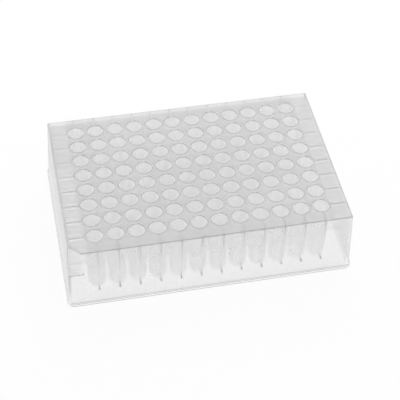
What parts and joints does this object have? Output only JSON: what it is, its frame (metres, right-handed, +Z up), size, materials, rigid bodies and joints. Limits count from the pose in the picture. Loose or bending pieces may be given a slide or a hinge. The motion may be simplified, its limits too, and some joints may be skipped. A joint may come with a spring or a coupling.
{
  "type": "well plate",
  "caption": "Rectangular lab plate with a grid of deep round-bottomed wells that hang as tubes from a flat deck inside a flanged skirt.",
  "frame": {"origin": "middle of the footprint at the underside of the base flange, where the plate stands", "axes": "+X along the twelve columns from column 1 to column 12, +Y along the rows from row H towards row A, +Z up through the well mouths; the notched corner is at -X, -Y"},
  "size_m": [0.1278, 0.0854, 0.0326],
  "materials": {
    "natural_polypropylene": "translucent natural polypropylene with a satin moulded surface"
  },
  "bodies": {
    "root": {"well_plate": "natural_polypropylene"}
  },
  "joints": []
}
